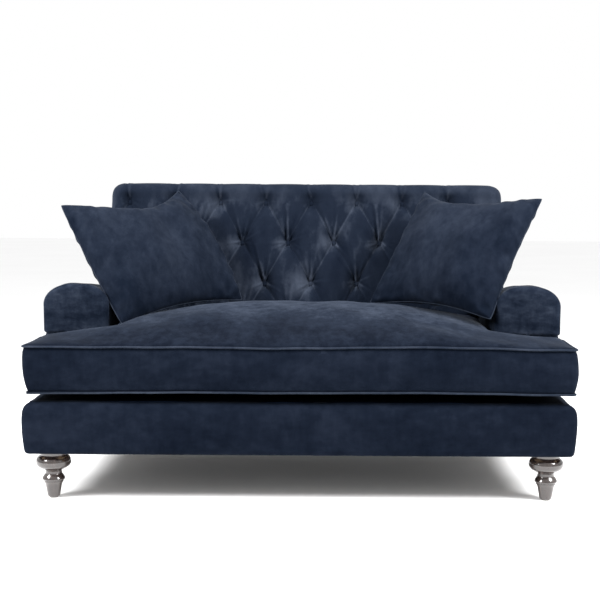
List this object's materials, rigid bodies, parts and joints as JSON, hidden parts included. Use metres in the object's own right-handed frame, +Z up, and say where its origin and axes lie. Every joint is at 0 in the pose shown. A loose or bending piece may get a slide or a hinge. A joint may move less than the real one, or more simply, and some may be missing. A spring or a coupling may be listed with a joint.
{
  "type": "sofa",
  "caption": "Two-seater sofa with set-back rolled arms, a deep-buttoned back, a T-shaped seat cushion, loose pillows and turned wooden legs.",
  "frame": {"origin": "on the floor, under the middle of the sofa's bounding box", "axes": "+Z up, the front of the sofa faces -Y, +X runs along the seat"},
  "size_m": [1.606, 0.95, 0.9416],
  "materials": {
    "velvet": "matte",
    "leg_lacquer": "gloss",
    "frame_wood": "matte",
    "spring_steel": "satin",
    "webbing": "matte",
    "deck_felt": "matte",
    "dust_cloth": "matte",
    "glide_nylon": "matte"
  },
  "bodies": {
    "frame": {"arm_facing_left": "velvet", "arm_facing_right": "velvet", "arm_front_post_left": "frame_wood", "arm_front_post_right": "frame_wood", "arm_pad_left": "velvet", "arm_pad_right": "velvet", "arm_rear_post_left": "frame_wood", "arm_rear_post_right": "frame_wood", "arm_top_rail_left": "frame_wood", "arm_top_rail_right": "frame_wood", "back_lower_rail": "frame_wood", "back_side_panel_left": "velvet", "back_side_panel_right": "velvet", "back_strap_1": "webbing", "back_strap_2": "webbing", "back_strap_3": "webbing", "back_top_rail": "frame_wood", "back_upright_left": "frame_wood", "back_upright_right": "frame_wood", "button_row_1": "velvet", "button_row_2": "velvet", "button_row_3": "velvet", "button_row_4": "velvet", "centre_rail": "frame_wood", "corner_block_front_left": "frame_wood", "corner_block_front_right": "frame_wood", "corner_block_rear_left": "frame_wood", "corner_block_rear_right": "frame_wood", "dust_cover": "dust_cloth", "front_border": "velvet", "front_rail": "frame_wood", "glide_front_left": "glide_nylon", "glide_front_right": "glide_nylon", "glide_rear_left": "glide_nylon", "glide_rear_right": "glide_nylon", "leg_bolt_front_left": "spring_steel", "leg_bolt_front_right": "spring_steel", "leg_bolt_rear_left": "spring_steel", "leg_bolt_rear_right": "spring_steel", "leg_front_left": "leg_lacquer", "leg_front_right": "leg_lacquer", "leg_rear_left": "leg_lacquer", "leg_rear_right": "leg_lacquer", "outside_arm_left": "velvet", "outside_arm_right": "velvet", "outside_back": "velvet", "rear_rail": "frame_wood", "seat_back_rail": "frame_wood", "seat_deck": "deck_felt", "seat_spring_1": "spring_steel", "seat_spring_2": "spring_steel", "seat_spring_3": "spring_steel", "seat_spring_4": "spring_steel", "side_rail_left": "frame_wood", "side_rail_right": "frame_wood", "tufted_back": "velvet"},
    "seat_cushion": {"seat_cushion": "velvet"},
    "pillow_left": {"pillow_left": "velvet"},
    "pillow_right": {"pillow_right": "velvet"}
  },
  "joints": [
    {"name": "seat_cushion_lift", "type": "slide", "parent": "frame", "child": "seat_cushion", "axis": [0, 0, 1], "range_m": [0, 0.35]},
    {"name": "pillow_left_lift", "type": "slide", "parent": "seat_cushion", "child": "pillow_left", "axis": [0, 0, 1], "range_m": [0, 0.4]},
    {"name": "pillow_right_lift", "type": "slide", "parent": "seat_cushion", "child": "pillow_right", "axis": [0, 0, 1], "range_m": [0, 0.4]}
  ]
}
